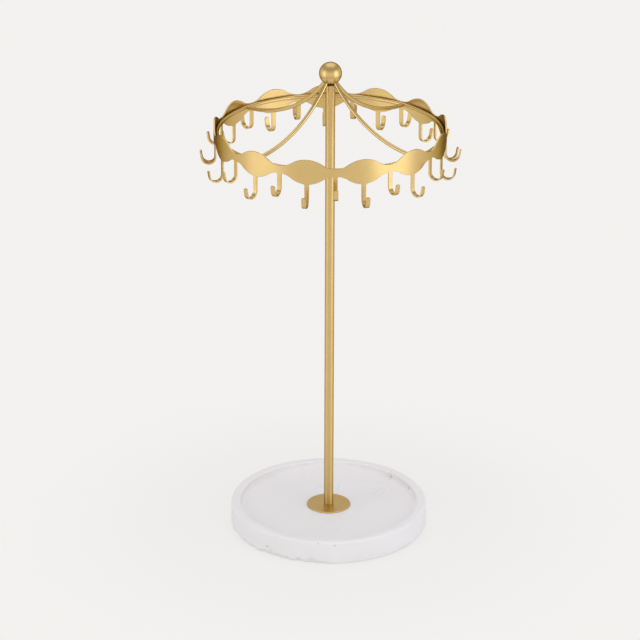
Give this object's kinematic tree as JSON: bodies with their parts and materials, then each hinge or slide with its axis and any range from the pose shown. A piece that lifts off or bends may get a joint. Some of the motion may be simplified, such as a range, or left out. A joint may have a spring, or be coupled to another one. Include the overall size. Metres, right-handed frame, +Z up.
{
  "type": "jewelry stand",
  "caption": "Carousel jewelry stand: a scalloped ring with J hooks turns on a thin post that stands in a round stone dish.",
  "frame": {"origin": "on the stand's vertical axis, at the underside of the pads that it rests on", "axes": "+Z up along the post; -Y is the front that the picture shows; +X is to the right seen from the front"},
  "size_m": [0.2056, 0.2058, 0.3956],
  "materials": {
    "satin_gold": "satin champagne-gold plate under clear lacquer on steel",
    "white_stone": "honed white stone with faint grey veins and small pits",
    "steel": "bright zinc-plated steel",
    "black_nylon": "matte black nylon",
    "pad_rubber": "soft dark grey rubber"
  },
  "bodies": {
    "base": {"tray": "white_stone", "foot_pad_1": "pad_rubber", "foot_pad_2": "pad_rubber", "foot_pad_3": "pad_rubber", "foot_pad_4": "pad_rubber", "base_screw": "steel", "base_washer": "steel", "foot_disc": "satin_gold", "post": "satin_gold", "post_plug": "steel", "pivot_bush": "black_nylon"},
    "canopy": {"spindle": "steel", "finial_ball": "satin_gold", "rib_1": "satin_gold", "rib_2": "satin_gold", "rib_3": "satin_gold", "rib_4": "satin_gold", "hoop": "satin_gold", "scallop_band": "satin_gold", "lens_hook_01": "satin_gold", "lens_hook_02": "satin_gold", "lens_hook_03": "satin_gold", "lens_hook_04": "satin_gold", "lens_hook_05": "satin_gold", "lens_hook_06": "satin_gold", "lens_hook_07": "satin_gold", "lens_hook_08": "satin_gold", "lens_hook_09": "satin_gold", "lens_hook_10": "satin_gold", "lens_hook_11": "satin_gold", "lens_hook_12": "satin_gold", "lens_hook_13": "satin_gold", "neck_hook_01": "satin_gold", "neck_hook_02": "satin_gold", "neck_hook_03": "satin_gold", "neck_hook_04": "satin_gold", "neck_hook_05": "satin_gold", "neck_hook_06": "satin_gold", "neck_hook_07": "satin_gold", "neck_hook_08": "satin_gold", "neck_hook_09": "satin_gold", "neck_hook_10": "satin_gold", "neck_hook_11": "satin_gold", "neck_hook_12": "satin_gold", "neck_hook_13": "satin_gold"}
  },
  "joints": [
    {"name": "carousel_spin", "type": "hinge", "parent": "base", "child": "canopy", "pos_m": [0, 0, 0.3783], "axis": [0, 0, 1], "continuous": true}
  ]
}
